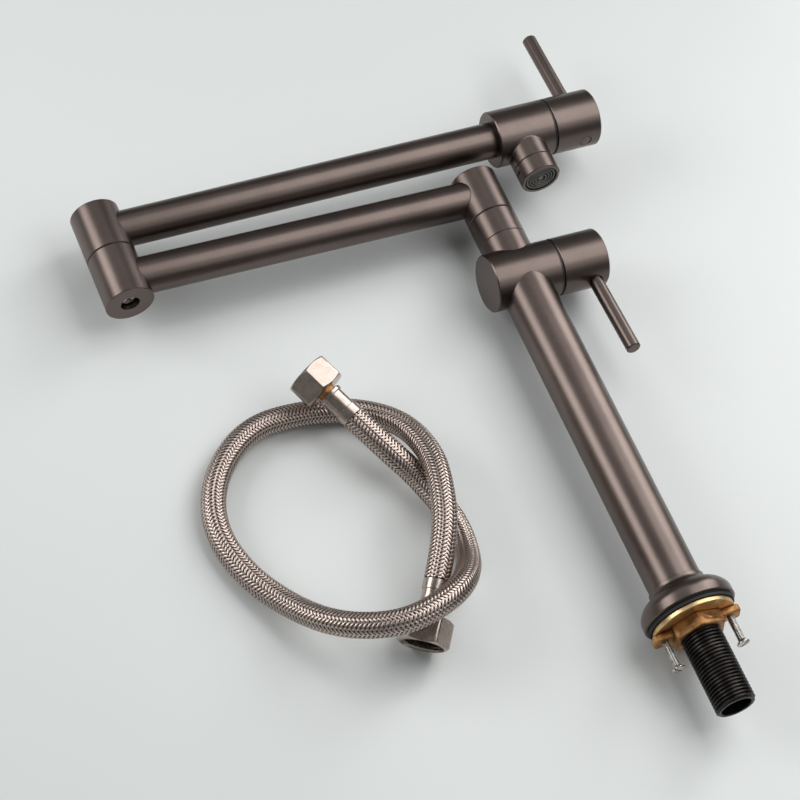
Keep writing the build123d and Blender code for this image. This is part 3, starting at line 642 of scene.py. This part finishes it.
def easedCopy(s):
    bm = bmesh.new()
    bm.from_mesh(nodes[s["node"]].data)
    bmesh.ops.remove_doubles(bm, verts=bm.verts, dist=3e-6)
    bmesh.ops.dissolve_limit(bm, angle_limit=math.radians(1.0), verts=bm.verts, edges=bm.edges)
    low, high = s["spared"]
    sharp = []
    for edge in bm.edges:
        spared = any(low < vertex.co.y / mm - baseY < high for vertex in edge.verts)
        outer = len(edge.link_faces) == 2 and edge.is_convex
        if outer and not spared and edge.calc_face_angle() > math.radians(30):
            sharp.append(edge)
    bmesh.ops.bevel(
        bm, geom=sharp, offset=s["width"] * mm, offset_type="OFFSET", affect="EDGES", segments=3, profile=0.5,
        material=-1, clamp_overlap=False,
    )
    return bm


for easedSet in easedSets:
    copied = easedCopy(easedSet)
    finish, body, slot = easedSet["finish"], easedSet["body"], easedSet["slot"]
    makePiece(easedSet["name"], copied, finish, body, [easedSet["node"]], 40)

# clamp screws: M4 threads over slotted countersunk heads
screwSet = {
    "turn": -12.0,                               # of the pair about the shank
    "reach": 17.3,
    "pitch": 0.7,
    "crest": 1.95,
    "root": 1.42,
    "top": -4.8,
    "under": -22.0,                              # where the head starts
    "tip": [(0.4, -4.8), (0.02, -4.8)],
    "head": [                                    # radius, and depth below the thread
        (1.95, 0.0), (3.35, 1.3), (3.5, 1.5), (3.5, 1.75), (3.3, 1.95), (2.6, 2.15), (1.6, 2.32), (0.8, 2.38),
        (0.02, 2.4),
    ],
    "slot": (0.9, 2.2, 9.0),                     # the cutter's width, height and length, at the head's end
    "slotTurn": 40.0,
    "steps": 36,
}


def makeObject(name, bm):                        # for the cut alone
    mesh = bpy.data.meshes.new(name)
    bm.to_mesh(mesh)
    bm.free()
    item = bpy.data.objects.new(name, mesh)
    bpy.context.collection.objects.link(item)
    return item


def makeScrew(side):
    s = screwSet
    bm = threadShell(s["pitch"], s["crest"], s["root"], s["under"], s["top"], s["steps"], 0.1)
    foot, top = openRim(bm, s["under"]), openRim(bm, s["top"])
    carryRim(bm, top, s["tip"])
    carryRim(bm, foot, [(radius, s["under"] - drop) for radius, drop in s["head"]])
    bmesh.ops.holes_fill(bm, edges=[edge for edge in bm.edges if edge.is_boundary], sides=0)
    bmesh.ops.recalc_face_normals(bm, faces=bm.faces)
    blank = makeObject("screwBlank", bm)
    cutter = bmesh.new()
    bmesh.ops.create_cube(cutter, size=1.0, matrix=Matrix.Diagonal((*[length * mm for length in s["slot"]], 1)))
    bmesh.ops.translate(cutter, verts=cutter.verts, vec=(0, (s["under"] - s["head"][-1][1]) * mm, 0))
    slot = makeObject("slotCutter", cutter)
    cut = blank.modifiers.new("slot", "BOOLEAN")
    cut.operation, cut.object, cut.solver = "DIFFERENCE", slot, "EXACT"
    bpy.context.view_layer.update()
    made = bmesh.new()
    made.from_object(blank, bpy.context.evaluated_depsgraph_get())
    for item in (blank, slot):
        mesh = item.data
        bpy.data.objects.remove(item)
        bpy.data.meshes.remove(mesh)
    turn = math.radians(s["turn"])
    place = onTable(side * s["reach"] * math.cos(turn), 0, axisZ - side * s["reach"] * math.sin(turn))
    swing = Matrix.Rotation(turn + math.radians(s["slotTurn"] * side), 4, "Y")
    bmesh.ops.transform(made, matrix=Matrix.Translation(place) @ swing, verts=made.verts)
    return made


screwPieces = bmesh.new()
for side in (1, -1):
    oneScrew = makeScrew(side)
    holder = bpy.data.meshes.new("holder")
    oneScrew.to_mesh(holder)
    oneScrew.free()
    screwPieces.from_mesh(holder)
    bpy.data.meshes.remove(holder)
makePiece("clampScrews", screwPieces, "bright_steel", "column", ["clamp_screws"], 35)
print("lock nut and clamp screws made")

# aerator insert: rings joined by small bars
insertSet = {
    "front": 0.7,                                # from the rings' front to height 0
    "half": [
        (0.0, -0.45), (1.4, -0.45), (1.55, -0.3), (1.55, 1.1), (2.75, 1.1), (2.75, -0.6),
        (3.4, -0.6), (3.4, 1.1), (4.45, 1.1), (4.45, -0.6), (5.05, -0.6), (5.05, 1.1),
        (6.0, 1.1), (6.0, -0.6), (6.6, -0.6), (6.6, 1.1), (7.5, 1.1), (7.5, -0.65),
        (8.35, -0.65), (8.35, 1.1), (9.2, 1.1), (9.2, 0.0), (9.75, 0.0), (9.75, 7.2),
        (8.95, 7.2), (8.95, 2.4), (0.0, 2.4),
    ],
    "bars": [(1.5, 2.8, 6), (3.3, 4.5, 12), (5.0, 6.05, 18), (6.55, 7.55, 24)],    # radii and count
    "barSize": (1.1, 0.5),                       # height and width
    "barMiddle": 0.65,
    "steps": 96,
}


def makeInsert():
    s = insertSet
    corners = [vertex.co for vertex in nodes["aerator_insert"].data.vertices]
    low, high = [Vector([edge(corner[axis] for corner in corners) for axis in range(3)]) for edge in (min, max)]
    seat = Vector(((low.x + high.x) / 2, low.y + s["front"] * mm, (low.z + high.z) / 2))
    bm = spinOutline(s["half"], s["steps"])
    bmesh.ops.remove_doubles(bm, verts=bm.verts, dist=1e-6)
    bmesh.ops.recalc_face_normals(bm, faces=bm.faces)
    barHigh, barWide = s["barSize"]
    for inner, outer, count in s["bars"]:
        size = Matrix.Diagonal(((outer - inner) * mm, barHigh * mm, barWide * mm, 1))
        out = Matrix.Translation(((inner + outer) / 2 * mm, s["barMiddle"] * mm, 0))
        for index in range(count):
            turn = Matrix.Rotation(math.tau * (index + 0.5) / count, 4, "Y")
            bmesh.ops.create_cube(bm, size=1.0, matrix=turn @ out @ size)
    bmesh.ops.translate(bm, verts=bm.verts, vec=seat)
    return bm


makePiece("aeratorInsert", makeInsert(), "grey_plastic", "outer_arm", ["aerator_insert"], 30)
print("aerator insert made")

# table and light
stageSet = {
    "reach": 4.0,
    "near": paint(230, 233, 232),
    "paintedShadeFar": paint(216, 219, 218),                 # painted shade: the table darker towards the right and back, under the brightest lamp
    "shade": (-0.02, 0.4),                       # where the painted shade begins and ends, in metres
    "backward": 0.55,
    "cloud": (1.3, 2.0),
    "rough": 0.34,
    "air": (0.93, 0.97, 0.96, 1.0),
    "airStrength": 0.17,
}


def floorFinish():
    finish = Finish("table", Metallic=0.0)
    cloud = finish.grain(*stageSet["cloud"])
    spot = finish.place()
    # painted shade: the table's colour darkens towards the right and back, to even out the lamps' light
    across = finish.part(spot, "X") + finish.part(spot, "Y") * stageSet["backward"]
    shade = finish.ramp(across, *stageSet["shade"])
    finish.feed(Base_Color=finish.blend(shade, stageSet["near"], stageSet["paintedShadeFar"]))
    finish.feed(Roughness=stageSet["rough"] + cloud * 0.06)
    return finish.material


floorMesh = bmesh.new()
bmesh.ops.create_grid(floorMesh, x_segments=2, y_segments=2, size=stageSet["reach"])
floorData = bpy.data.meshes.new("table")
floorMesh.to_mesh(floorData)
floorMesh.free()
floorData.materials.append(floorFinish())
table = bpy.data.objects.new("table", floorData)
bpy.context.collection.objects.link(table)

lampSets = [                                     # degrees from +X and above the table, metres, watts
    {"name": "leftBack", "turn": 153, "rise": 31, "away": 1.25, "size": (0.75, 0.6), "power": 6.0},
    {"name": "rightBack", "turn": 27, "rise": 30, "away": 1.15, "size": (0.46, 0.58), "power": 3.6},
    {"name": "overhead", "turn": 2, "rise": 62, "away": 1.0, "size": (0.85, 0.8), "power": 5.2},
    {"name": "back", "turn": 100, "rise": 56, "away": 1.6, "size": (1.2, 1.0), "power": 1.8},
    {"name": "front", "turn": -58, "rise": 47, "away": 1.5, "size": (0.9, 0.7), "power": 1.7},
]
for lampSet in lampSets:
    turn, rise = math.radians(lampSet["turn"]), math.radians(lampSet["rise"])
    outward = Vector((math.cos(turn) * math.cos(rise), math.sin(turn) * math.cos(rise), math.sin(rise)))
    lampData = bpy.data.lights.new(lampSet["name"], "AREA")
    lampData.shape = "RECTANGLE"
    lampData.size, lampData.size_y = lampSet["size"]
    lampData.energy = lampSet["power"]
    lamp = bpy.data.objects.new(lampSet["name"], lampData)
    lamp.rotation_mode = "QUATERNION"
    lamp.location = outward * lampSet["away"]
    lamp.rotation_quaternion = outward.to_track_quat("Z", "Y")
    bpy.context.collection.objects.link(lamp)

world = bpy.data.worlds.new("studio")
world.use_nodes = True
bpy.context.scene.world = world
backdrop = world.node_tree.nodes["Background"]
backdrop.inputs["Color"].default_value = stageSet["air"]
backdrop.inputs["Strength"].default_value = stageSet["airStrength"]
bpy.context.scene.view_settings.view_transform = "Standard"
print("table and lights set")
